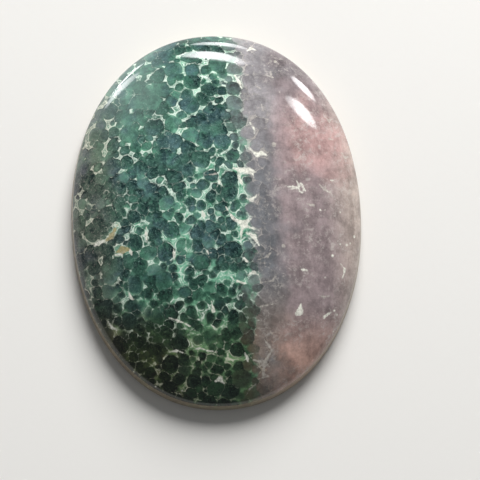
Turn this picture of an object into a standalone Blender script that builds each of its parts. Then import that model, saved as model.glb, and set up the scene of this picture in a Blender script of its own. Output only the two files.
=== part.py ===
"""A polished oval cabochon of grape chalcedony, lying on its flat back.

Blender 4.5, metres, +Z up. Run it with: blender --background --python part.py
The origin is the middle of the flat back. +Y runs along the length of the oval, and +Z points up
through the crown of the dome. The stone is one solid piece, so it is one object.
"""

import math

import bmesh
import bpy

LENGTH = 0.0420
WIDTH = 0.0320
HEIGHT = 0.0070

# The oval is a little squarer than an ellipse. It was ground by hand, so its foot, at -Y, came out
# a little fuller than its head.
OUTLINE_POWER = 2.11
FULLER_FOOT = 0.0038

# From the back up: a small bevel, a girdle wall that leans in, then the dome.
BEVEL = 0.0004
GIRDLE_TOP = 0.0020
GIRDLE_LEAN = 0.0002

# The dome is flat across its middle and turns down faster at the shoulder than a ball would.
DOME_POWER = 2.3
SHOULDER_POWER = 0.70

SEGMENTS = 96
WALL_STEPS = 3
DOME_RINGS = 16
CREASE_ANGLE = math.radians(35)


def outline_point(turn, inset, share):
    """The point of the oval at this angle, moved in by inset and then scaled about the middle."""
    across = abs(math.cos(turn)) ** (2 / OUTLINE_POWER)
    along = abs(math.sin(turn)) ** (2 / OUTLINE_POWER)
    fuller = 1 + FULLER_FOOT * math.sin(3 * turn)
    x = math.copysign(across, math.cos(turn)) * (WIDTH / 2 - inset) * fuller
    y = math.copysign(along, math.sin(turn)) * (LENGTH / 2 - inset) * fuller
    # The fuller foot would put the oval's middle below the origin, so it moves up by as much.
    return x * share, (y + FULLER_FOOT * LENGTH / 2) * share


def dome_height(share):
    """Height of the dome at this share of the way from the middle to the girdle's top edge."""
    rise = HEIGHT - GIRDLE_TOP
    return GIRDLE_TOP + rise * (1 - share**DOME_POWER) ** SHOULDER_POWER


def profile():
    """The rings of the stone from the back up, each as its inset, its share and its height."""
    rings = [(BEVEL, 1.0, 0.0)]
    for step in range(WALL_STEPS + 1):
        climbed = step / WALL_STEPS
        rings.append((GIRDLE_LEAN * climbed, 1.0, BEVEL + (GIRDLE_TOP - BEVEL) * climbed))
    for ring in range(1, DOME_RINGS):
        # The rings crowd towards the shoulder, where the dome turns fastest.
        share = math.cos(math.pi / 2 * ring / DOME_RINGS)
        rings.append((GIRDLE_LEAN, share, dome_height(share)))
    return rings


def add_ring(mesh, inset, share, height):
    turns = (2 * math.pi * i / SEGMENTS for i in range(SEGMENTS))
    return [mesh.verts.new((*outline_point(turn, inset, share), height)) for turn in turns]


def stone_mesh():
    mesh = bmesh.new()
    rings = [add_ring(mesh, *ring) for ring in profile()]
    for low, high in zip(rings, rings[1:]):
        for i in range(SEGMENTS):
            j = (i + 1) % SEGMENTS
            mesh.faces.new((low[i], low[j], high[j], high[i]))
    mesh.faces.new(reversed(rings[0]))
    crown = mesh.verts.new((0, 0, HEIGHT))
    for i in range(SEGMENTS):
        mesh.faces.new((rings[-1][i], rings[-1][(i + 1) % SEGMENTS], crown))
    data = bpy.data.meshes.new("cabochon")
    mesh.to_mesh(data)
    mesh.free()
    return data


def polished_chalcedony():
    material = bpy.data.materials.new("grape_chalcedony")
    material.use_nodes = True
    surface = material.node_tree.nodes["Principled BSDF"]
    surface.inputs["Base Color"].default_value = (0.10, 0.15, 0.14, 1)
    surface.inputs["Metallic"].default_value = 0.0
    surface.inputs["Roughness"].default_value = 0.08
    surface.inputs["IOR"].default_value = 1.54
    return material


def main():
    for old in list(bpy.data.objects):
        bpy.data.objects.remove(old)
    data = stone_mesh()
    data.materials.append(polished_chalcedony())
    data.shade_smooth()
    data.set_sharp_from_angle(angle=CREASE_ANGLE)
    stone = bpy.data.objects.new("cabochon", data)
    bpy.context.scene.collection.objects.link(stone)


main()
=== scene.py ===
"""The looks of a polished oval cabochon of grape chalcedony, lying on its flat back.

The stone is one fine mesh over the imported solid. Its pattern is grown first: small spheres, the orbs, are
packed all through the stone, and the surface shows where it cuts them. What each point of the surface sees of
the orbs goes to the material as shares and distances, and the material's nodes turn those into colour.
"""

import math

import bpy
import numpy as np
from mathutils import Matrix, Quaternion, Vector, noise
from mathutils.geometry import delaunay_2d_cdt


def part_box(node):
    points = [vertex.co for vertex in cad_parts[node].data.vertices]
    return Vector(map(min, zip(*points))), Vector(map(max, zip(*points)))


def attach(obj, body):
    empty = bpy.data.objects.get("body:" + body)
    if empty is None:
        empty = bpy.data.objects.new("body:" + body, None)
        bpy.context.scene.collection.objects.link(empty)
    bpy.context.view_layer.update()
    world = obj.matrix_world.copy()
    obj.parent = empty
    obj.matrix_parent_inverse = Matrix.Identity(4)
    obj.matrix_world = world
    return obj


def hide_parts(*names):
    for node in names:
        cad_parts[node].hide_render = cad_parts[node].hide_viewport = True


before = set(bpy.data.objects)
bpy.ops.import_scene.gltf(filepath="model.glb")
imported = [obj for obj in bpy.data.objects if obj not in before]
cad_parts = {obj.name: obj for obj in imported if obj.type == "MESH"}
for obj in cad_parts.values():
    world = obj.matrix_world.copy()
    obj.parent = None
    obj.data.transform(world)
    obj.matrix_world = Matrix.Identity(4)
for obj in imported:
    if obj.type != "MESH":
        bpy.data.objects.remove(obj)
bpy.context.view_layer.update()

MM = 0.001

# The stone's form, as its solid has it. Lengths are in millimetres until the mesh is made.
low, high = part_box("cabochon")
WIDTH = (high.x - low.x) / MM
LENGTH = (high.y - low.y) / MM
HEIGHT = (high.z - low.z) / MM
OUTLINE_POWER = 2.11
FULLER_FOOT = 0.0038
BEVEL = 0.4
GIRDLE_TOP = 2.0
GIRDLE_LEAN = 0.2
DOME_POWER = 2.3
SHOULDER_POWER = 0.70

# How fine the mesh is: points round the rim, rows up the girdle, and the spacing of points on the faces.
# The face is finest where there are orbs or small marks.
RIM_POINTS = 960
WALL_ROWS = 11
FINE_STEP = 0.116
COARSE_STEP = 0.19
BACK_STEP = 0.42
ROWS_INSIDE_RIM = (0.06, 0.13, 0.21, 0.31)
FINE_PAST_SEAM = 2.6
FINE_ROUND_MARKS = 0.35
# The points of a face stay this share of their spacing inside the rings round it.
ROOM_AT_RIM = 0.6
# Edges sharper than this many degrees are creases.
CREASE_ANGLE = 30
# How many times the oval's share, and the place where a ray meets the dome, are worked out anew.
OVAL_ROUNDS = 3
DOME_ROUNDS = 8

# The camera looks down on the face, tilted towards the foot, with the oval leaning a little to the left.
CAMERA_DISTANCE = 300
CAMERA_ELEVATION = 78
CAMERA_AZIMUTH = -10
OVAL_LEAN = 1.9
FRAME_WIDTH = 53.1
AIM_RIGHT = 2.61
AIM_UP = -1.95
# The picture's width in pixels, the sensor's in millimetres, and where the camera's view starts, in metres.
PICTURE = 480
SENSOR_WIDTH = 36
CLIP_START = 0.01

# The orbs. They may overlap: their centres stay about this share of their radii's sum apart, which sways
# from place to place and is less past the seam, from the first of two distances past it to the second.
CROWDING = 0.67
CROWDING_SWAY = 0.28
CROWDING_WAVES = 0.28
CROWDING_MAUVE = 0.12
CROWDING_PAST = (-0.5, 1.0)
# Orbs that the face cuts and orbs below it, each from large to small.
FACE_RADII = np.geomspace(1.12, 0.42, 20)
BODY_RADII = np.geomspace(1.00, 0.50, 10)
# The face gets this many tries for orbs of 1 mm, and more for smaller ones, as their area shrinks.
FACE_TRIES = 200
BODY_TRIES = 1500
# The middle of an orb that the face cuts is at most this share of its radius above or below the face.
SUNK = 0.5
# The middles of the orbs below the face are under this height, and within this share of the way to the rim.
BODY_TOP = HEIGHT - 1
BODY_OUT = 1.02
ORB_SEED = 11
# Without a seed, the waves that bend and crowd the orbs would start from the clock.
noise.seed_set(ORB_SEED)
# Orbs at the face leave the marks free: they stay this share of their radius away.
MARK_ROOM = 0.62

# The orbs are not quite round: each of these bends them by its first number, turning its second number of
# times in a millimetre.
BENDS = ((0.32, 0.55), (0.13, 1.6), (0.05, 3.6))
# Points look for their orbs a cube at a time: the cube's side, and how much further than that an orb's skin
# may be from the cube's middle.
TILE = 1.0
REACH = 0.6

# The depths at which the eye makes out the orbs, and how it drifts sideways for each millimetre inwards.
SIGHT_DEPTHS = (0.03, 0.08, 0.14, 0.21, 0.29, 0.38, 0.49, 0.62, 0.78, 0.98, 1.25, 1.60)
SIGHT_SLANT = (0.08, -0.22, 0.0)
# Half the width of an orb's blurred edge at the surface, and how much it grows for each millimetre below.
SOFT_EDGE = 0.10
SOFTER_BELOW = 0.16
# How fast a dark orb, a pale orb and the matrix hide what is below them.
DARK_FADE = 5.0
PALE_FADE = 0.9
MATRIX_FADE = 2.0
# Painted light: an orb is painted lighter towards this side, as if lit from it, by this much at its skin.
LIT_SIDE = (-0.70, -0.55, 0.45)
LIT_SHARE = 0.40
# How light the orbs are, from 0 to 1. The power makes most of them dark. Those at the upper left and at the
# left rim are lighter by the next two; at the left rim this is partly a painted reflection that veils the
# orbs. Of the orbs read off, the dark are scaled and the pale are set.
TONE_POWER = 1.9
UPPER_LEFT_LIGHTER = 0.24
LEFT_RIM_LIGHTER = 0.15
DARK_ORB_SCALE = 0.3
PALE_ORB_TONE = 0.9
# Where along the stone (y) or across it (x) these changes of tone start and are complete.
LIGHTER_Y = (3, 10)
LIGHTER_X = (0, -6)
LIGHTER_RIM_X = (-9, -13)

# Orbs that stand out, as the pixel at the middle of each and its width in pixels.
DARK_ORBS = (
    (161.8, 189.7, 12), (181.2, 194.3, 13), (202.7, 185.1, 12), (211.3, 196.8, 12), (191.4, 202.4, 10),
    (201.6, 205.5, 12), (154, 206, 15), (222, 205.5, 12), (212.9, 211.6, 9), (179.2, 218.3, 11),
    (191.4, 220.8, 11), (201.6, 227, 12), (159.8, 223.9, 16), (154.7, 235, 14), (125.6, 228, 10),
    (138.4, 232, 10), (130.2, 236.6, 6), (120, 238, 10), (103, 250, 14), (109, 251, 14), (181.7, 258.6, 12),
    (211.8, 253, 13), (197, 246.3, 14), (161.8, 266.7, 11), (173, 268.8, 10), (212.3, 274.4, 10),
    (201.6, 280, 13), (188.4, 278, 8), (144, 276, 13), (152, 281, 14), (127.1, 286.1, 9), (94.5, 283, 10),
    (121, 295.3, 11), (135.3, 296.8, 7), (220, 290.2, 13), (180, 306.5, 11), (192.4, 312.6, 11),
    (201.6, 305.5, 10), (185.3, 317.8, 9), (209.8, 317.8, 9), (140.4, 320.8, 11), (139.4, 330, 13),
    (169, 324.9, 11), (157.8, 332, 9), (198.6, 327, 9), (210, 110, 14), (219, 111, 14), (232.4, 88.2, 17),
    (221.2, 91.2, 12), (213.1, 75.9, 10), (239.5, 120.5, 17), (222.5, 129, 14), (219.2, 150.4, 5),
    (233, 155.5, 16), (247, 157, 13), (221, 162.6, 10), (229.4, 180, 19), (247.8, 181, 10), (235.5, 206, 13),
    (243.7, 199, 9), (231, 224, 14), (217, 226, 8), (221, 239.5, 13), (232.5, 250.5, 20), (225, 266.7, 9),
    (241.6, 265.5, 11), (231.4, 292, 9), (219, 304, 14), (240.6, 305.5, 11), (235, 318, 15), (243, 318, 12),
    (227, 334, 12), (202.5, 396, 11), (216.7, 370, 12), (228.3, 374, 8), (239, 367.5, 12), (198, 364, 8),
    (183.3, 361.7, 15), (180, 353, 9), (191.7, 353.3, 7), (151.7, 350, 12), (156.7, 365.8, 7),
    (135, 356.7, 11), (165, 376.7, 14), (180, 380, 14), (195, 381.7, 16), (230, 391.7, 20),
)
PALE_ORBS = (
    (176.6, 205.5, 10), (168, 215.7, 12), (180.2, 245.3, 12), (176, 294.3, 11), (240, 275.5, 12),
    (247.8, 291, 12), (243.7, 142, 10), (254, 282, 12), (267, 274, 15), (252.9, 190, 15), (246, 246, 12),
    (220.8, 345, 9), (210.8, 359, 11), (168.3, 343.3, 14),
)
# Open matrix that no orb fills, in the same way.
CLEARINGS = (
    (182, 270, 9), (218, 184, 9), (225.5, 277, 9), (120, 316, 8), (255, 171, 10), (240, 170, 8),
    (226, 323, 9), (224, 172, 7), (245, 224, 8), (190, 344, 9), (204, 347, 12), (229, 357, 13), (246, 357, 8),
)

# White marks and a few painted glints, as lines through pixels, with the mark's width in pixels at each. One
# point alone is a dot.
WHITE_MARKS_AND_GLINTS = (
    ((247, 51, 1), (251, 48.5, 3), (256, 50, 1)),
    ((234.5, 75, 1.5), (239, 82, 3.5), (241.6, 88, 2)),
    ((249.8, 122.3, 1.5), (254, 129, 1.8), (254.4, 135, 1.2)),
    ((244.7, 145.3, 1.2), (250, 149, 1.8), (257, 155, 4), (262, 153, 4), (267, 155.5, 1.5)),
    ((233.5, 168, 2), (240, 170, 4.5), (249, 170.5, 6), (256, 172, 2)),
    ((238, 173, 2.5), (240.5, 181, 2.5), (243.7, 188, 1.2)),
    ((252, 172, 3), (254, 178, 1)),
    ((218, 177, 1.2), (219.5, 183, 1.4), (224, 187.5, 1.2)),
    ((246.5, 198, 1.5), (252, 200, 3.2), (257, 194.5, 1.5)),
    ((226, 207, 1.2), (233, 218.5, 2.5), (243.5, 223.5, 6), (250.5, 219, 2.2)),
    ((243.5, 224, 5.5), (241.5, 232, 2.5), (240.5, 240, 1.5)),
    ((246, 226, 4), (253, 228, 1.8), (259.5, 231, 1)),
    ((246, 232.5, 1.5), (254, 236.5, 4.5), (259, 245, 1.5)),
    ((244, 257.5, 1.8), (247.5, 261.5, 3)),
    ((248.5, 275, 2), (253, 272.3, 3), (258.5, 274.5, 1.2)),
    ((237.5, 281.5, 2.6), (245, 283, 2.6)),
    ((211, 300, 1), (213.5, 311.5, 3.2)),
    ((211, 325, 2), (215, 328, 2)),
    ((216, 381, 3), (220, 379, 4.5), (224, 383, 1.5)),
    ((182, 390.7, 2.5),),
    ((155.7, 386.6, 2.5),),
    ((296.5, 314.5, 3.6), (299.8, 311.5, 7), (301, 303, 1)),
    ((324.5, 317, 4), (328.5, 314, 2), (331, 312.5, 2)),
    ((334.5, 310.5, 2.5),),
    ((337, 315, 2),),
    ((301, 269.5, 1.2), (307, 270.5, 2.2)),
    ((332.5, 255.5, 3.2),),
    ((340.5, 263.5, 1), (345, 269.5, 2.5), (342.5, 278, 1)),
    ((340.3, 244.2, 2),),
    ((346.8, 244.7, 2.6),),
    ((350.5, 243.3, 2.2),),
    ((340.6, 212.7, 2.6),),
    ((325.3, 277.5, 2.4),),
    ((320.2, 209.6, 1.6),),
    ((333.5, 331.5, 2.2),),
    # Painted highlight: the glint of a small pit near the right rim, painted without the pit.
    ((354.3, 236.7, 2.4),),
    ((105, 241, 2.5), (99, 242.5, 3.5), (94.5, 246, 2.5)),
    ((115, 255, 1.5), (119, 254.5, 2.5), (123, 255, 1)),
    ((130, 248, 1), (130.5, 251.5, 2.5), (131.5, 255, 1)),
    ((146.5, 227, 1.2), (146, 234, 2.2), (147, 242, 1.2)),
    ((202, 210, 1.2), (203.5, 215, 3), (204, 219, 1.2)),
    ((173.5, 249, 1.2), (174.5, 254, 2.4), (174, 259, 1.2)),
    ((129, 292, 1.5), (130.5, 297, 2.8), (134, 300, 1.2)),
    ((169, 318, 1.2), (178, 320.5, 2), (190, 326, 1.4)),
    ((108, 321, 1.2), (112, 328, 2.2), (117, 330, 1.2)),
    # Painted highlights: sparkling glints in a dark orb.
    ((207.5, 251, 1.4), (208.5, 253.5, 1.6)),
    ((211, 252.5, 1.6),),
    ((209, 257, 1.4),),
    ((170.5, 352, 1.4), (176, 350.5, 2.2), (184, 353, 1.2)),
    ((193, 350, 1.2), (200, 348, 1.6), (208, 351, 1.6), (217, 352, 1.4)),
    ((245, 353, 1.2), (247.5, 358, 2.6), (248, 362, 1.2)),
    ((298.6, 187, 1), (299.2, 184.2, 1), (301, 183.2, 1), (303.2, 185.5, 1), (303.8, 189.5, 1.2),
     (302, 192.4, 1.4), (299.8, 191, 1), (298.6, 187, 1)),
    ((288, 186.8, 1.5), (293, 186.6, 1), (298, 187, 0.8)),
    ((289, 189.2, 0.9), (294, 188.5, 0.8), (298.6, 188, 0.8)),
    ((296.6, 181, 0.9), (298.6, 184.6, 0.9)),
    ((303.8, 189.5, 1), (305.4, 191, 1.3)),
    ((306.6, 184.8, 1.5),),
    ((330.5, 180.2, 1.2), (333.5, 180.2, 1.6)),
    ((327.5, 191.3, 1.6), (329, 192, 1.4)),
)
# Fainter ones, in the same way.
PALE_MARKS = (
    ((205, 175, 1.2), (217, 173.7, 1.6)),
    ((256, 85.6, 1.2), (261, 89, 1)),
    ((258.5, 274.5, 1.4), (260.8, 282.5, 1.6), (273, 280.5, 1.2), (275.5, 276, 1)),
    ((257.5, 260, 1), (267.3, 256.5, 2.5), (272, 252, 1)),
    ((260, 306.7, 1.4), (268, 305, 1.3), (275.5, 303.5, 1)),
    ((319.2, 184.6, 1.6), (324.2, 189.2, 2.4), (330, 192, 1.8), (333.8, 198.3, 1)),
    ((325.4, 185.4, 1.2), (324.2, 189.2, 1.6)),
    ((306.5, 203.5, 1), (311, 205, 1.5), (313.5, 205, 2.2), (314, 207.5, 1)),
    ((321, 210.8, 1), (326, 209.6, 1)),
    ((254, 360, 1.6), (264.5, 363, 4), (271, 351, 1.6)),
    ((264.5, 363, 3.6), (263, 376, 1.8)),
    ((264.5, 363, 3), (257.5, 368, 1.4)),
    ((264.5, 363, 3), (269.5, 367, 1.4)),
    ((263, 338, 1.2), (270, 347, 1.8), (273, 352, 1.2)),
    ((263, 374, 1.6), (268, 376, 2), (259, 379, 1.2)),
    ((245, 397, 1), (250, 389, 2), (256, 384, 1.2)),
    ((274, 144.5, 5),),
    ((283.5, 245.5, 4),),
    ((275.3, 61.6, 4),),
    ((271, 74, 3),),
    ((291.5, 68, 1.5), (296.5, 73.5, 1.5)),
    ((265, 75, 1.3), (273, 77.5, 2)),
    ((261.5, 104.5, 1.2), (263, 110.5, 2)),
    ((267.5, 119.5, 2.4),),
    ((279.4, 92.5, 2),),
    ((325, 117, 1.5), (329, 121, 3), (332, 119, 1.5)),
    ((342, 153, 1.8), (345, 157.5, 1.8), (349, 157, 2)),
    ((329, 139, 1.2), (333, 139.5, 1.4)),
    ((311, 205, 2.2),),
    ((318, 295, 1.2), (324, 297, 2), (330, 295.5, 1.2)),
    ((349.8, 190, 1.2), (351, 226, 1.2)),
    ((353.6, 196, 1), (355, 222, 1.2)),
)
# Rusty marks at the left of the green.
TAN_MARKS = (
    ((118, 224, 1), (114.5, 230.5, 3.5), (111, 237, 5), (105.5, 241, 2.5)),
    ((117, 252, 3), (122.5, 250, 7.5), (129, 249.5, 3.5)),
)
# How far apart marks flow into each other.
FLOW = 0.08

# The line where the green orbs give way to mauve, as its x at each y, from the foot to the head.
SEAM_Y = (-20.0, -17.0, -14.0, -11.0, -8.0, -3.0, 0.5, 4.0, 7.0, 11.0, 18.0)
SEAM_X = (4.1, 3.9, 3.8, 4.0, 4.0, 3.8, 3.5, 3.3, 3.3, 3.1, 2.8)
# Orbs lighter than the middle tone turn slate sooner, and darker ones later, by this much for a whole tone.
SEAM_SWAY = 0.8
MIDDLE_TONE = 0.4


def camera_axes():
    """Right, up and back of the camera, with the stone's length leaning to the left of upright."""
    azimuth, elevation = math.radians(CAMERA_AZIMUTH), math.radians(CAMERA_ELEVATION)
    level = math.cos(elevation)
    back = Vector((math.sin(azimuth) * level, -math.cos(azimuth) * level, math.sin(elevation)))
    along = (Vector((0, 1, 0)) - back * back.y).normalized()
    up = Quaternion(back, math.radians(-OVAL_LEAN)) @ along
    return up.cross(back), up, back


def outline(turn, inset):
    """Points of the oval at these angles, moved in by inset."""
    across = np.abs(np.cos(turn)) ** (2 / OUTLINE_POWER)
    along = np.abs(np.sin(turn)) ** (2 / OUTLINE_POWER)
    fuller = 1 + FULLER_FOOT * np.sin(3 * turn)
    x = np.copysign(across, np.cos(turn)) * (WIDTH / 2 - inset) * fuller
    y = np.copysign(along, np.sin(turn)) * (LENGTH / 2 - inset) * fuller
    return np.stack([x, y + FULLER_FOOT * LENGTH / 2], axis=-1)


def share_at(x, y, inset):
    """How far out these points are, as a share of the way from the middle to the inset oval."""
    half_width, half_length = WIDTH / 2 - inset, LENGTH / 2 - inset
    share = np.ones_like(x)
    for _ in range(OVAL_ROUNDS):
        level = y - FULLER_FOOT * LENGTH / 2 * share
        across = (np.abs(x) / half_width) ** OUTLINE_POWER
        along = (np.abs(level) / half_length) ** OUTLINE_POWER
        turn = np.arctan2(np.copysign(np.sqrt(along), level), np.copysign(np.sqrt(across), x))
        share = (across + along) ** (1 / OUTLINE_POWER) / (1 + FULLER_FOOT * np.sin(3 * turn))
    return share


def dome_height(x, y):
    share = np.clip(share_at(x, y, GIRDLE_LEAN), 0, 1)
    return GIRDLE_TOP + (HEIGHT - GIRDLE_TOP) * (1 - share**DOME_POWER) ** SHOULDER_POWER


def lattice(step, inset, margin):
    """Points a step apart, in rows of triangles, over the inset oval less a margin at its edge."""
    columns = np.arange(-WIDTH / 2, WIDTH / 2, step)
    rows = np.arange(-LENGTH / 2, LENGTH / 2, step * math.sqrt(3) / 2)
    x, y = np.meshgrid(columns, rows)
    x[1::2] += step / 2
    keep = share_at(x, y, inset) < 1 - margin / (WIDTH / 2)
    return np.stack([x[keep], y[keep]], axis=-1)


def at_height(flat, height):
    return np.column_stack([flat, np.broadcast_to(height, len(flat))])


def triangles(points, numbers):
    """Triangles over these points, which the mesh knows by these numbers."""
    faces = np.array(delaunay_2d_cdt([Vector(point[:2]) for point in points], [], [], 0, 1e-7)[2])
    return numbers[faces]


def detailed(flat):
    """Whether each of these points of the face is among the orbs or close to a small mark."""
    points = at_height(flat, dome_height(*flat.T))
    marked = outside_marks(points, WHITE_MARKS_AND_GLINTS + PALE_MARKS) < FINE_ROUND_MARKS
    return marked | (past_seam(points) < FINE_PAST_SEAM)


def face_points(turns):
    """Points of the dome, those of its rim first."""
    rim = outline(turns, GIRDLE_LEAN)
    rows = [rim * (1 - inside / (WIDTH / 2)) for inside in ROWS_INSIDE_RIM]
    fine = lattice(FINE_STEP, GIRDLE_LEAN, ROWS_INSIDE_RIM[-1] + ROOM_AT_RIM * FINE_STEP)
    coarse = lattice(COARSE_STEP, GIRDLE_LEAN, ROWS_INSIDE_RIM[-1] + ROOM_AT_RIM * COARSE_STEP)
    flat = np.concatenate([rim, *rows, fine[detailed(fine)], coarse[~detailed(coarse)]])
    face = at_height(flat, dome_height(*flat.T))
    face[:RIM_POINTS, 2] = GIRDLE_TOP
    return face


def wall_rings(turns):
    """Rings of points from just below the dome's rim down to the lower edge of the bevel."""
    rings = []
    for climbed in np.linspace(1, 0, WALL_ROWS)[1:]:
        ring = outline(turns, GIRDLE_LEAN * climbed)
        rings.append(at_height(ring, BEVEL + (GIRDLE_TOP - BEVEL) * climbed))
    rings.append(at_height(outline(turns, BEVEL), 0))
    return rings


def stone_mesh():
    turns = 2 * math.pi * np.arange(RIM_POINTS) / RIM_POINTS
    face = face_points(turns)
    walls = wall_rings(turns)
    back = at_height(lattice(BACK_STEP, BEVEL, ROOM_AT_RIM * BACK_STEP), 0)
    points = np.concatenate([face, *walls, back])

    faces = triangles(face, np.arange(len(face))).tolist()
    here = np.arange(RIM_POINTS)
    for row in range(len(walls)):
        below = len(face) + row * RIM_POINTS + np.arange(RIM_POINTS)
        quads = np.column_stack([below, np.roll(below, -1), np.roll(here, -1), here])
        faces += quads.tolist()
        here = below
    back_numbers = np.arange(here[0], len(points))
    faces += triangles(points[back_numbers], back_numbers)[:, ::-1].tolist()

    mesh = bpy.data.meshes.new("stone")
    mesh.from_pydata(points * MM, [], faces)
    mesh.shade_smooth()
    mesh.set_sharp_from_angle(angle=math.radians(CREASE_ANGLE))
    return mesh


def on_stone(px, py):
    """The place on the dome that the picture shows at this pixel."""
    right, up, back = (np.array(axis) for axis in camera_axes())
    pixel = FRAME_WIDTH / PICTURE
    eye = right * AIM_RIGHT + up * AIM_UP + back * CAMERA_DISTANCE
    ray = right * (px - PICTURE / 2) * pixel + up * (PICTURE / 2 - py) * pixel - back * CAMERA_DISTANCE
    place = np.array([0, 0, HEIGHT])
    for _ in range(DOME_ROUNDS):
        place = eye + ray * (place[2] - eye[2]) / ray[2]
        place[2] = dome_height(place[0], place[1])
    return place


def read_orbs(orbs):
    """Orbs read off the picture, as x, y, z and radius."""
    pixel = FRAME_WIDTH / PICTURE
    return np.array([(*on_stone(px, py), across * pixel / 2) for px, py, across in orbs])


def outside_marks(points, marks):
    """How far outside these marks each point is. The corners where marks meet are filled softly."""
    half_pixel = FRAME_WIDTH / PICTURE / 2
    closeness = np.full(len(points), 1e-30)
    for mark in marks:
        knots = [(on_stone(px, py), across * half_pixel) for px, py, across in mark]
        for (start, start_radius), (end, end_radius) in zip(knots, knots[1:] or knots):
            line = end - start
            along = np.clip((points - start) @ line / max(line @ line, 1e-9), 0, 1)
            apart = np.linalg.norm(points - start - along[:, None] * line, axis=1)
            closeness += np.exp((start_radius + along * (end_radius - start_radius) - apart) / FLOW)
    return -FLOW * np.log(closeness)


def past_seam(points):
    return points[:, 0] - np.interp(points[:, 1], SEAM_Y, SEAM_X)


def soft_step(value, start, end):
    share = np.clip((value - start) / (end - start), 0, 1)
    return share * share * (3 - 2 * share)


def waves(points, per_mm):
    """A smooth random direction at each point, turning about this many times in a millimetre."""
    return np.array([noise.noise_vector(Vector(point) * per_mm) for point in points]).reshape(-1, 3)


def with_room(places, radius, orbs):
    """The places where an orb of this radius would not crowd the orbs that are there."""
    crowding = CROWDING + CROWDING_SWAY * waves(places, CROWDING_WAVES)[:, 0]
    crowding -= CROWDING_MAUVE * soft_step(past_seam(places), *CROWDING_PAST)
    apart = np.linalg.norm(places[:, None] - orbs[None, :, :3], axis=2)
    return places[(apart > crowding[:, None] * (orbs[:, 3] + radius)).all(axis=1)]


def settle(orbs, places, radius):
    for place in with_room(places, radius, orbs):
        if len(with_room(place[None], radius, orbs)):
            orbs = np.vstack([orbs, (*place, radius)])
    return orbs


def grow_orbs():
    """Orbs as x, y, z and radius: those read off, a layer that the face cuts, then all through the stone."""
    random = np.random.default_rng(ORB_SEED)
    corner = np.array([WIDTH / 2, LENGTH / 2])
    orbs = np.vstack([read_orbs(DARK_ORBS), read_orbs(PALE_ORBS), read_orbs(CLEARINGS)])
    clearings = slice(len(orbs) - len(CLEARINGS), len(orbs))
    for radius in FACE_RADII:
        flat = random.uniform(-corner, corner, (round(FACE_TRIES / radius**2), 2))
        flat = flat[share_at(*flat.T, 0) < 1]
        places = at_height(flat, dome_height(*flat.T))
        flat = flat[outside_marks(places, WHITE_MARKS_AND_GLINTS + TAN_MARKS) > MARK_ROOM * radius]
        depth = radius * random.uniform(-SUNK, SUNK, len(flat))
        orbs = settle(orbs, at_height(flat, dome_height(*flat.T) - depth), radius)
    for radius in BODY_RADII:
        places = random.uniform((*-corner, 0), (*corner, BODY_TOP), (BODY_TRIES, 3))
        places = places[places[:, 2] < dome_height(places[:, 0], places[:, 1]) - radius]
        orbs = settle(orbs, places[share_at(places[:, 0], places[:, 1], 0) < BODY_OUT], radius)
    return np.delete(orbs, clearings, axis=0)


def orb_tones(orbs):
    """How light each orb is, from 0 to 1."""
    x, y = orbs[:, 0], orbs[:, 1]
    tones = np.random.default_rng(ORB_SEED).random(len(orbs)) ** TONE_POWER
    tones += UPPER_LEFT_LIGHTER * soft_step(y, *LIGHTER_Y) * soft_step(x, *LIGHTER_X)
    tones += LEFT_RIM_LIGHTER * soft_step(x, *LIGHTER_RIM_X)
    tones = np.minimum(tones, 1)
    pale = slice(len(DARK_ORBS), len(DARK_ORBS) + len(PALE_ORBS))
    tones[: len(DARK_ORBS)] *= DARK_ORB_SCALE
    tones[pale] = PALE_ORB_TONE
    return tones


def nearest_two(points, orbs):
    """For each point, how far outside its nearest and its second orb it is, and which orb is nearest."""
    tiles, tile_of = np.unique(np.floor(points / TILE).astype(int), axis=0, return_inverse=True)
    order = np.argsort(tile_of.ravel(), kind="stable")
    ends = np.cumsum(np.bincount(tile_of.ravel()))
    first, second = np.empty(len(points)), np.empty(len(points))
    nearest = np.empty(len(points), int)
    for tile, members in zip(tiles, np.split(order, ends[:-1])):
        middle = (tile + 0.5) * TILE
        outside = np.linalg.norm(orbs[:, :3] - middle, axis=1) - orbs[:, 3]
        count = max(2, np.count_nonzero(outside < REACH + TILE))
        close = np.argpartition(outside, count)[:count]
        gaps = np.linalg.norm(points[members, None] - orbs[None, close, :3], axis=2) - orbs[close, 3]
        ranked = np.argpartition(gaps, 1, axis=1)[:, :2]
        pair = np.take_along_axis(gaps, ranked, axis=1)
        lead = pair.argmin(axis=1)
        rows = np.arange(len(members))
        first[members], second[members] = pair[rows, lead], pair[rows, 1 - lead]
        nearest[members] = close[ranked[rows, lead]]
    return first, second, nearest


def look_below(points, inward, orbs, tones):
    """The share of matrix, rather than of orbs, in what each point shows, and how light its orbs are, their
    painted lit side included.
    """
    light = np.ones(len(points))
    matrix_seen, orbs_seen, shade_seen = np.zeros((3, len(points)))
    slanted = inward + SIGHT_SLANT
    reached = 0
    for depth in SIGHT_DEPTHS:
        places = points + slanted * (reached + depth) / 2
        outside, _, nearest = nearest_two(places, orbs)
        softness = SOFT_EDGE + SOFTER_BELOW * depth
        matrix = soft_step(outside, -softness, softness)
        # Pale orbs are clearer.
        orb_fade = DARK_FADE + (PALE_FADE - DARK_FADE) * tones[nearest]
        fade = orb_fade + (MATRIX_FADE - orb_fade) * matrix
        taken = light * (1 - np.exp(-(depth - reached) * fade))
        by_matrix = taken * MATRIX_FADE * matrix / fade
        # Painted light: each orb is lighter on its lit side.
        lit = (places - orbs[nearest, :3]) @ LIT_SIDE / orbs[nearest, 3]
        matrix_seen += by_matrix
        orbs_seen += taken - by_matrix
        shade_seen += (taken - by_matrix) * (tones[nearest] + LIT_SHARE * lit)
        light -= taken
        reached = depth
    return matrix_seen / (1 - light), shade_seen / np.maximum(orbs_seen, 1e-6)


def write_field(mesh, name, values):
    mesh.attributes.new(name, "FLOAT", "POINT").data.foreach_set("value", values.astype(np.float32))


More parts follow.
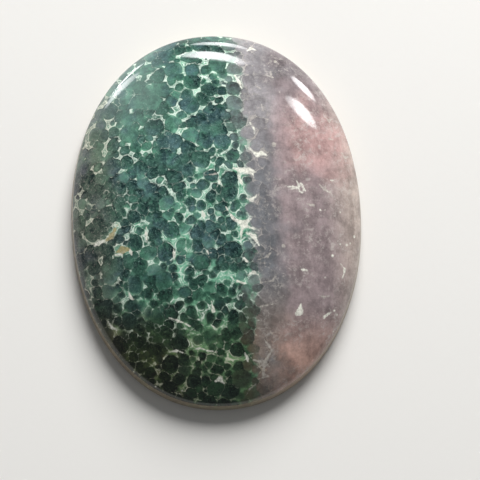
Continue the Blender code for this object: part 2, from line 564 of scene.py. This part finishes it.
def write_fields(mesh):
    """What each point sees of the orbs, in millimetres and shares, for the material."""
    count = len(mesh.vertices)
    points, normals = np.empty(count * 3), np.empty(count * 3)
    mesh.vertices.foreach_get("co", points)
    mesh.vertex_normals.foreach_get("vector", normals)
    points, inward = points.reshape(-1, 3) / MM, -normals.reshape(-1, 3)
    write_field(mesh, "past_seam", past_seam(points))
    write_field(mesh, "outside_white", outside_marks(points, WHITE_MARKS_AND_GLINTS))
    write_field(mesh, "outside_pale", outside_marks(points, PALE_MARKS))
    write_field(mesh, "outside_tan", outside_marks(points, TAN_MARKS))
    orbs = grow_orbs()
    tones = orb_tones(orbs)
    points = points + sum(size * waves(points, per_mm) for size, per_mm in BENDS)
    edge, second, nearest = nearest_two(points, orbs)
    write_field(mesh, "edge", edge)
    write_field(mesh, "border", second - edge)
    write_field(mesh, "orb_past_seam", (past_seam(orbs) + SEAM_SWAY * (tones - MIDDLE_TONE))[nearest])
    matrix_share, shade = look_below(points, inward, orbs, tones)
    write_field(mesh, "matrix_share", matrix_share)
    write_field(mesh, "shade", shade)


def seen(red, green, blue):
    """A colour as a screen shows it, from 0 to 255, as the linear colour that a shader takes."""
    shares = np.array([red, green, blue]) / 255
    # The sRGB curve.
    linear = np.where(shares <= 0.04045, shares / 12.92, ((shares + 0.055) / 1.055) ** 2.4)
    return (*linear, 1.0)


class Nodes:
    """One material's nodes. Each method adds a node and gives its output."""

    def __init__(self, name):
        self.material = bpy.data.materials.new(name)
        self.material.use_nodes = True
        self.tree = self.material.node_tree
        self.shader = self.tree.nodes["Principled BSDF"]

    def feed(self, socket, value):
        if isinstance(value, bpy.types.NodeSocket):
            self.tree.links.new(value, socket)
        else:
            socket.default_value = value

    def add(self, kind, inputs=(), **settings):
        node = self.tree.nodes.new(kind)
        for name, value in settings.items():
            setattr(node, name, value)
        for place, value in dict(inputs).items():
            self.feed(node.inputs[place], value)
        return node

    def calc(self, operation, a, b=0.0):
        return self.add("ShaderNodeMath", {0: a, 1: b}, operation=operation).outputs[0]

    def times(self, *values):
        product = values[0]
        for value in values[1:]:
            product = self.calc("MULTIPLY", product, value)
        return product

    def step(self, value, start, end):
        """Rises from 0 at start to 1 at end, softly."""
        node = self.add("ShaderNodeMapRange", {"Value": value, "From Min": start, "From Max": end},
                        interpolation_type="SMOOTHSTEP")
        return node.outputs["Result"]

    def between(self, factor, a, b):
        """The number that lies this far from a to b."""
        return self.add("ShaderNodeMix", {0: factor, 2: a, 3: b}, data_type="FLOAT").outputs[0]

    def mix(self, factor, a, b):
        """The colour that lies this far from a to b."""
        node = self.add("ShaderNodeMix", data_type="RGBA")
        for place, value in ((0, factor), (6, a), (7, b)):
            self.feed(node.inputs[place], value)
        return node.outputs[2]

    def tint(self, factor, colour, tint):
        """The colour times the tint, as far as factor says."""
        node = self.add("ShaderNodeMix", data_type="RGBA", blend_type="MULTIPLY")
        for place, value in ((0, factor), (6, colour), (7, (*tint, 1.0))):
            self.feed(node.inputs[place], value)
        return node.outputs[2]

    def vector(self, operation, *values):
        node = self.add("ShaderNodeVectorMath", dict(enumerate(values)), operation=operation)
        return node.outputs["Value" if operation == "DISTANCE" else 0]

    def scaled(self, colour, factor):
        if isinstance(colour, tuple):
            colour = colour[:3]
        return self.add("ShaderNodeVectorMath", {0: colour, "Scale": factor}, operation="SCALE").outputs[0]

    def split(self, where):
        return self.add("ShaderNodeSeparateXYZ", {0: where}).outputs

    def noise(self, where, scale, detail=2.0, roughness=0.5, distortion=0.0):
        """Noise with this many waves to a millimetre, mostly between 0.3 and 0.7.

        Where two patterns should differ, one of them adds a few millimetres to where.
        """
        inputs = {"Vector": where, "Scale": scale, "Detail": detail, "Roughness": roughness,
                  "Distortion": distortion}
        return self.add("ShaderNodeTexNoise", inputs).outputs["Fac"]

    def field(self, name):
        return self.add("ShaderNodeAttribute", attribute_name=name).outputs["Fac"]


ORB_SHELL = seen(8, 26, 28)
ORB_DEEP = seen(13, 40, 41)
ORB_GREEN = seen(96, 144, 124)
ORB_BLUE = seen(98, 132, 136)
ORB_SLATE = seen(112, 114, 118)
SLATE_HEAD = seen(158, 153, 155)
SLATE_FOOT = seen(136, 122, 113)
# Lighter and browner towards the foot: painted light against the shading there and a painted warm reflection.
GLINT = seen(140, 174, 164)
MINT_VEIL = seen(92, 156, 126)
MATRIX_DEEP = seen(48, 94, 76)
MATRIX_MINT = seen(116, 180, 148)
MATRIX_PALE = seen(178, 220, 196)
# The greyer matrix at the left rim is partly the stone's own grey, and partly painted shade and a painted
# warm reflection.
MATRIX_LEFT = seen(120, 126, 114)
MATRIX_LILAC = seen(140, 138, 140)
MINT_WHITE = seen(224, 240, 226)
LILAC_WHITE = seen(176, 170, 164)
CREAM = seen(234, 233, 220)
HEAD_HAZE = seen(148, 172, 164)
# A tint multiplies a colour.
HEAD_ORB_TINT = (0.66, 0.70, 0.70)
# Painted shade: the orbs darker towards the foot. At the foot all colours get painted shade and a painted
# warm reflection, which make them darker and browner, the more so at its left.
LOW_ORB_SHADE_TINT = (0.39, 0.54, 0.49)
FOOT_SHADE_TINT = (0.86, 0.66, 0.46)
FOOT_LEFT_SHADE_TINT = (0.96, 0.66, 0.50)
# Towards the left rim: painted shade and a painted warm reflection, which redden the orbs and dim and warm
# the pale lines.
LEFT_TINT = (1.60, 0.90, 0.90)
LEFT_LINE_TINT = (0.98, 0.84, 0.78)
# Where along the stone (y) or across it (x) these changes of colour, painted shade and reflection among them,
# start and are complete.
SLATE_HEAD_Y = (2, 12)
SLATE_FOOT_Y = (-6, -14)
HEAD_Y = (7, 15)
HAZE_X = (-3.5, -8.5)
LOW_Y = (-2, -10)
FOOT_Y = (-7, -16)
FOOT_LEFT_Y = (-9, -15)
FOOT_LEFT_X = (-1, -8)
FOOT_LINES_Y = (-9, -18)
LEFT_X = (-9.0, -13.5)
MORE_LINES_Y = (-14, 9)
MORE_LINES_X = (-4, -11)


def slate_colour(n, where, slate):
    """This slate grey, paler towards the head, and lighter and browner towards the foot with painted light
    and a painted warm reflection.
    """
    y = n.split(where)[1]
    slate = n.mix(n.times(n.step(y, *SLATE_HEAD_Y), 0.75), slate, SLATE_HEAD)
    return n.mix(n.times(n.step(y, *SLATE_FOOT_Y), 0.85), slate, SLATE_FOOT)


def orb_colour(n, where, edge):
    """The orbs: cloudy, dark at the shell and slate grey from the seam on."""
    y = n.split(where)[1]
    cloud = n.step(n.noise(where, 1.8, 5.0, 0.8, 0.5), 0.36, 0.66)
    # The shade field holds each orb's tone and its painted lit side.
    clearness = n.calc("ADD", n.times(n.field("shade"), 0.56), n.times(cloud, 0.44))
    clearness = n.calc("SUBTRACT", clearness, 0.04)
    clear = n.mix(n.step(n.noise(where, 0.30), 0.40, 0.60), ORB_GREEN, ORB_BLUE)
    orb = n.mix(clearness, ORB_DEEP, clear)
    orb = n.mix(n.times(n.step(edge, -0.28, -0.05), 0.6), orb, ORB_SHELL)
    glints = n.step(n.noise(n.vector("ADD", where, (7, 3, 5)), 3.4, 4.0, 0.8, 0.9), 0.53, 0.70)
    orb = n.mix(n.times(glints, 0.60), orb, GLINT)
    # Here and there a mint veil lies over them.
    veil = n.step(n.noise(n.vector("ADD", where, (1, 4, 9)), 0.42, 5.0, 0.7, 0.4), 0.52, 0.72)
    orb = n.mix(n.times(veil, 0.45), orb, MINT_VEIL)
    orb = n.tint(n.step(y, *HEAD_Y), orb, HEAD_ORB_TINT)
    # Painted shade: the orbs darker towards the foot.
    orb = n.tint(n.step(y, *LOW_Y), orb, LOW_ORB_SHADE_TINT)
    slate = n.scaled(slate_colour(n, where, ORB_SLATE), n.calc("ADD", 0.64, n.times(clearness, 0.75)))
    slate = n.scaled(slate, n.calc("SUBTRACT", 1.0, n.times(n.step(edge, -0.20, 0.0), 0.22)))
    orb = n.mix(n.times(n.step(n.field("orb_past_seam"), -2.6, -0.4), 0.35), orb, slate)
    return n.mix(n.step(n.field("orb_past_seam"), -0.6, 0.5), orb, slate)


def matrix_colour(n, where, past):
    """The matrix between the orbs, from green over mint to nearly white, and lilac past the seam."""
    sway = n.times(n.calc("SUBTRACT", n.noise(where, 0.28, 2.0), 0.5), 0.5)
    cloud = n.calc("ADD", n.noise(where, 0.9, 6.0, 0.78, 0.4), sway)
    matrix = n.mix(n.step(cloud, 0.36, 0.56), MATRIX_DEEP, MATRIX_MINT)
    matrix = n.mix(n.times(n.step(cloud, 0.52, 0.68), 0.65), matrix, MATRIX_PALE)
    return n.mix(n.step(past, -0.9, 0.7), matrix, MATRIX_LILAC)


def pale_lines(n, where, edge, past):
    """How white the matrix is drawn: round the orbs in patches, and where it is pinched between two."""
    ragged = n.times(n.calc("SUBTRACT", n.noise(where, 3.0, 3.0, 0.7), 0.5), 0.3)
    border = n.calc("ADD", n.field("border"), ragged)
    reach = n.calc("ADD", 0.01, n.times(n.calc("MAXIMUM", edge, 0.0), 0.35))
    # There are more of them towards the head and to the left, and most past the seam.
    x, y, _ = n.split(where)
    more = n.calc("ADD", n.times(n.step(y, *MORE_LINES_Y), 0.13), n.times(n.step(x, *MORE_LINES_X), 0.04))
    strand = n.times(n.step(n.calc("SUBTRACT", border, reach), 0.12, -0.06), n.step(edge, -0.05, 0.05))
    strand = n.times(strand, n.step(n.calc("ADD", n.noise(where, 0.6, 4.0, 0.6), more), 0.50, 0.64))
    contact = n.times(n.step(border, 0.12, 0.0), n.step(edge, -0.45, -0.02))
    patches = n.step(n.noise(n.vector("ADD", where, (3, 9, 4)), 0.8, 3.0), 0.42, 0.60)
    among_green, past_green = n.times(patches, 0.6), n.calc("ADD", patches, 0.3)
    contact = n.times(contact, n.between(n.step(past, -0.8, 0.6), among_green, past_green))
    rim = n.times(n.step(edge, -0.08, 0.0), n.step(edge, 0.11, 0.01))
    rim = n.times(rim, n.step(n.calc("ADD", n.noise(where, 0.9, 4.0, 0.6), more), 0.50, 0.66), 0.95)
    threads = n.calc("ADD", 0.40, n.times(n.step(n.noise(where, 2.8, 4.0, 0.8), 0.36, 0.58), 0.60))
    return n.times(n.calc("MAXIMUM", n.calc("MAXIMUM", strand, rim), contact), threads)


def orbs_in_matrix(n, where, edge, past):
    x, y, _ = n.split(where)
    near = n.calc("ADD", past, n.times(n.calc("SUBTRACT", n.noise(where, 0.6, 3.0), 0.5), 3.5))
    # Towards the left rim: a painted warm reflection and painted shade over the orbs and lines, and a greyer
    # matrix that is partly the stone's own grey.
    leftward = n.step(x, *LEFT_X)
    orb = n.tint(leftward, orb_colour(n, where, edge), LEFT_TINT)
    matrix = n.mix(n.times(leftward, 0.75), matrix_colour(n, where, near), MATRIX_LEFT)
    colour = n.mix(n.field("matrix_share"), orb, matrix)
    colour = n.mix(n.times(n.step(y, *HEAD_Y), n.step(x, *HAZE_X), 0.34), colour, HEAD_HAZE)
    # Painted shade and a painted warm reflection: darker and browner at the foot, the more so at its left.
    colour = n.tint(n.times(n.step(y, *FOOT_Y), n.step(past, 1.0, -1.5)), colour, FOOT_SHADE_TINT)
    colour = n.tint(n.times(n.step(y, *FOOT_LEFT_Y), n.step(x, *FOOT_LEFT_X)), colour, FOOT_LEFT_SHADE_TINT)
    line_colour = n.mix(n.step(past, -1.0, 0.8), MINT_WHITE, LILAC_WHITE)
    # The pale lines get some of the painted shade at the foot, and the painted warm reflection at the left
    # rim.
    line_colour = n.tint(n.times(n.step(y, *FOOT_LINES_Y), 0.6), line_colour, FOOT_SHADE_TINT)
    line_colour = n.tint(leftward, line_colour, LEFT_LINE_TINT)
    colour = n.mix(pale_lines(n, where, edge, past), colour, line_colour)
    return n.mix(n.times(feathers(n, where), n.step(past, -0.8, 0.8)), colour, LILAC_WHITE)


MAUVE = seen(146, 131, 132)
SLATE = seen(122, 119, 122)
MAUVE_RIM = seen(180, 165, 156)
MAUVE_PINK = seen(182, 147, 143)
# Lighter and browner at the foot: painted light against the shading there and a painted warm reflection.
MAUVE_FOOT = seen(190, 154, 141)
MAUVE_PALE = seen(196, 188, 182)
HEAD_TINT = (0.62, 0.66, 0.67)
# The middle of the pinkest patch, and where the other changes of the mauve start and are complete.
PINK_SPOT = (11.4, 8.0, 5.0)
MAUVE_RIM_PAST = (7.5, 12.0)
MAUVE_FOOT_Y = (-10, -17)
MAUVE_HEAD_Y = (11, 17)


def feathers(n, where):
    """Faint pale growths like frost, in patches."""
    frost = n.step(n.noise(where, 1.5, 6.0, 0.85, 0.3), 0.48, 0.64)
    return n.times(frost, n.step(n.noise(where, 0.36, 3.0), 0.40, 0.60), 0.6)


def mauve_cloud(n, where, past):
    """Clouded mauve chalcedony, slate grey beside the orbs, pinker and paler to the right."""
    patchy = n.calc("SUBTRACT", n.noise(n.vector("ADD", where, (2, 6, 1)), 0.35, 4.0), 0.5)
    slateness = n.step(n.calc("ADD", past, n.times(patchy, 11.0)), 5.6, 0.4)
    base = n.mix(slateness, MAUVE, slate_colour(n, where, SLATE))
    base = n.mix(n.step(past, *MAUVE_RIM_PAST), base, MAUVE_RIM)
    pinkness = n.step(n.calc("ADD", n.vector("DISTANCE", where, PINK_SPOT), n.times(patchy, 8.0)), 6.4, 1.0)
    base = n.mix(n.times(pinkness, 0.85), base, MAUVE_PINK)
    y = n.split(where)[1]
    # Painted light and a painted warm reflection at the foot.
    base = n.mix(n.step(y, *MAUVE_FOOT_Y), base, MAUVE_FOOT)
    base = n.tint(n.step(y, *MAUVE_HEAD_Y), base, HEAD_TINT)
    mottle = n.step(n.noise(where, 0.5, 5.0, 0.68), 0.32, 0.68)
    streak = n.noise(n.vector("MULTIPLY", where, (1.0, 0.22, 1.0)), 2.4, 4.0, 0.7)
    colour = n.scaled(base, n.calc("ADD", n.calc("ADD", 0.37, n.times(mottle, 0.56)), n.times(streak, 0.62)))
    colour = n.mix(feathers(n, where), colour, MAUVE_PALE)
    dots = n.step(n.noise(n.vector("ADD", where, (5, 8, 2)), 1.0, 1.0), 0.68, 0.80)
    return n.mix(n.times(dots, 0.45), colour, MAUVE_PALE)


# The small marks: the field that has each, its colour and how much it covers.
MARKS = (
    ("outside_pale", seen(196, 190, 180), 0.70),
    ("outside_tan", seen(170, 156, 112), 0.90),
    # The white marks' field also holds the painted glints.
    ("outside_white", CREAM, 0.95),
)


def marked(n, where, colour, wobble):
    """The small marks over the colour, ragged and thready."""
    grain = n.step(n.noise(where, 3.2, 4.0, 0.8), 0.34, 0.62)
    threads = n.calc("ADD", 0.75, n.times(grain, 0.25))
    for name, mark_colour, strength in MARKS:
        inside = n.step(n.calc("ADD", n.field(name), wobble), 0.04, -0.09)
        grained = n.scaled(mark_colour, n.calc("ADD", 0.74, n.times(grain, 0.38)))
        colour = n.mix(n.times(inside, threads, strength), colour, grained)
    return colour


DUST = seen(170, 154, 130)
POLISHED_ROUGHNESS = 0.07
GROUND_ROUGHNESS = 0.40
CHALCEDONY_IOR = 1.54


def stone_material():
    n = Nodes("grape_chalcedony")
    place = n.add("ShaderNodeTexCoord").outputs["Object"]
    where = n.scaled(place, 1 / MM)
    wobble = n.times(n.calc("SUBTRACT", n.noise(where, 2.2, 3.0, 0.6), 0.5), 0.16)
    edge = n.calc("ADD", n.field("edge"), wobble)
    past = n.field("past_seam")
    fading = n.calc("ADD", past, n.times(n.calc("SUBTRACT", n.noise(where, 0.5, 3.0), 0.5), 4.0))
    orbs = orbs_in_matrix(n, where, edge, past)
    colour = n.mix(n.step(fading, 0.9, 4.2), orbs, mauve_cloud(n, where, past))
    colour = marked(n, where, colour, n.times(wobble, 2.4))
    colour = n.scaled(colour, n.calc("ADD", 0.72, n.times(n.noise(where, 5.0, 3.0, 0.8), 0.56)))
    # The girdle and the back are ground, not polished, and hold some dust.
    ground = n.step(n.split(where)[2], GIRDLE_TOP + 0.05, GIRDLE_TOP - 0.08)
    dust = n.calc("ADD", 0.45, n.times(n.noise(where, 1.6, 5.0, 0.7), 0.40))
    colour = n.mix(n.times(ground, dust), colour, DUST)
    n.feed(n.shader.inputs["Base Color"], colour)
    rougher = n.times(ground, GROUND_ROUGHNESS - POLISHED_ROUGHNESS)
    n.feed(n.shader.inputs["Roughness"], n.calc("ADD", POLISHED_ROUGHNESS, rougher))
    n.shader.inputs["IOR"].default_value = CHALCEDONY_IOR
    return n.material


def make_stone():
    mesh = stone_mesh()
    write_fields(mesh)
    mesh.materials.append(stone_material())
    stone = bpy.data.objects.new("cabochon_stone", mesh)
    bpy.context.scene.collection.objects.link(stone)
    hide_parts("cabochon")
    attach(stone, "root")
    return stone


def place_camera():
    right, up, back = camera_axes()
    data = bpy.data.cameras.new("camera")
    data.sensor_width = SENSOR_WIDTH
    data.lens = SENSOR_WIDTH * CAMERA_DISTANCE / FRAME_WIDTH
    data.clip_start = CLIP_START
    camera = bpy.data.objects.new("camera", data)
    bpy.context.scene.collection.objects.link(camera)
    spot = (right * AIM_RIGHT + up * AIM_UP + back * CAMERA_DISTANCE) * MM
    camera.matrix_world = Matrix.Translation(spot) @ Matrix((right, up, back)).transposed().to_4x4()
    bpy.context.scene.camera = camera


# Half the floor's side and how far it lies below the stone's back, in metres, so that the two don't touch.
FLOOR_HALF = 0.8
FLOOR_DROP = 0.00002
FLOOR_COLOUR = seen(232, 230, 226)
FLOOR_ROUGHNESS = 0.8


def make_floor():
    mesh = bpy.data.meshes.new("floor")
    corners = [(x * FLOOR_HALF, y * FLOOR_HALF, 0) for x, y in ((-1, -1), (1, -1), (1, 1), (-1, 1))]
    mesh.from_pydata(corners, [], [(0, 1, 2, 3)])
    n = Nodes("pale_floor")
    n.shader.inputs["Base Color"].default_value = FLOOR_COLOUR
    n.shader.inputs["Roughness"].default_value = FLOOR_ROUGHNESS
    mesh.materials.append(n.material)
    floor = bpy.data.objects.new("floor", mesh)
    bpy.context.scene.collection.objects.link(floor)
    floor.location.z = -FLOOR_DROP


# How far from the origin the lights stand, in metres.
LIGHT_DISTANCE = 0.5
# The way to the key light, its width in metres and its power in watts.
KEY_WAY = (0.18, 0.78, 0.60)
KEY_WIDTH = 0.35
KEY_POWER = 4.2
WORLD_COLOUR = seen(235, 238, 240)
WORLD_STRENGTH = 0.19
# The windows that the polish mirrors: the pixels where each streak starts, is half way and ends, how many
# pixels thick it is, and how bright the window is.
WINDOWS = (
    ((180, 57), (212, 55.5), (250, 69), 7.5, 62),
    ((191, 46), (221, 44), (251, 53), 3.4, 42),
    ((292, 78), (303.5, 88), (316, 99.5), 5.8, 62),
    ((287, 98), (302, 111.5), (318, 127), 10.5, 55),
    ((98, 115), (119, 85), (148, 60.5), 1.6, 75),
    ((104, 107), (120.5, 89), (140, 72), 5.0, 34),
)
# A window fades to nothing this many half lengths from its middle, so that its ends are soft.
SOFT_ENDS = 1.25
# The dome's slope is taken between points this far to either side, in millimetres.
NUDGE = 0.05


def add_light(name, spot, width, height, power, glossy):
    """An oval light facing the stone. It either lights things or, if glossy, only shows in their polish."""
    data = bpy.data.lights.new(name, "AREA")
    data.shape = "ELLIPSE"
    data.size, data.size_y = width, height
    data.energy = power
    light = bpy.data.objects.new(name, data)
    bpy.context.scene.collection.objects.link(light)
    light.location = spot
    light.rotation_mode = "QUATERNION"
    light.rotation_quaternion = spot.to_track_quat("Z", "Y")
    light.visible_camera = False
    light.visible_diffuse = not glossy
    light.visible_glossy = glossy
    return light


def mirrored(px, py):
    """The point, at the lights' distance, that the camera sees in the polish at this pixel."""
    right, up, back = (np.array(axis) for axis in camera_axes())
    eye = right * AIM_RIGHT + up * AIM_UP + back * CAMERA_DISTANCE
    place = on_stone(px, py)
    x, y = place[:2]
    slope_x = (dome_height(x + NUDGE, y) - dome_height(x - NUDGE, y)) / (2 * NUDGE)
    slope_y = (dome_height(x, y + NUDGE) - dome_height(x, y - NUDGE)) / (2 * NUDGE)
    normal = Vector((-slope_x, -slope_y, 1)).normalized()
    return Vector(place * MM) + Vector(place - eye).normalized().reflect(normal) * LIGHT_DISTANCE


def add_window(number, start, middle, end, thickness, glow):
    """A light that only shows in the polish, as a streak through these pixels, this thick in the middle."""
    left, right = mirrored(*start), mirrored(*end)
    off = Vector((end[1] - start[1], start[0] - end[0])).normalized() * thickness / 2
    outer, inner = mirrored(*(Vector(middle) + off)), mirrored(*(Vector(middle) - off))
    along, spot = right - left, (outer + inner) / 2
    height = (outer - inner - (outer - inner).project(along)).length
    # A narrow spread softens the ends. It also gathers the power in the middle, which is taken back here.
    fade_end = SOFT_ENDS * along.length / 2 / LIGHT_DISTANCE
    spread = math.atan(fade_end)
    power = glow * along.length * height * (1 - spread / fade_end)
    window = add_light(f"window_{number}", spot, along.length, height, power, glossy=True)
    window.data.spread = 2 * spread
    back = spot.normalized()
    across = (along - along.project(back)).normalized()
    window.rotation_quaternion = Matrix((across, back.cross(across), back)).transposed().to_quaternion()


def light_scene():
    world = bpy.data.worlds.new("soft_grey")
    bpy.context.scene.world = world
    world.use_nodes = True
    background = world.node_tree.nodes["Background"]
    background.inputs["Color"].default_value = WORLD_COLOUR
    background.inputs["Strength"].default_value = WORLD_STRENGTH
    key_spot = Vector(KEY_WAY).normalized() * LIGHT_DISTANCE
    add_light("key", key_spot, KEY_WIDTH, KEY_WIDTH, KEY_POWER, glossy=False)
    for number, window in enumerate(WINDOWS):
        add_window(number, *window)
    bpy.context.scene.view_settings.view_transform = "Standard"


make_stone()
make_floor()
place_camera()
light_scene()
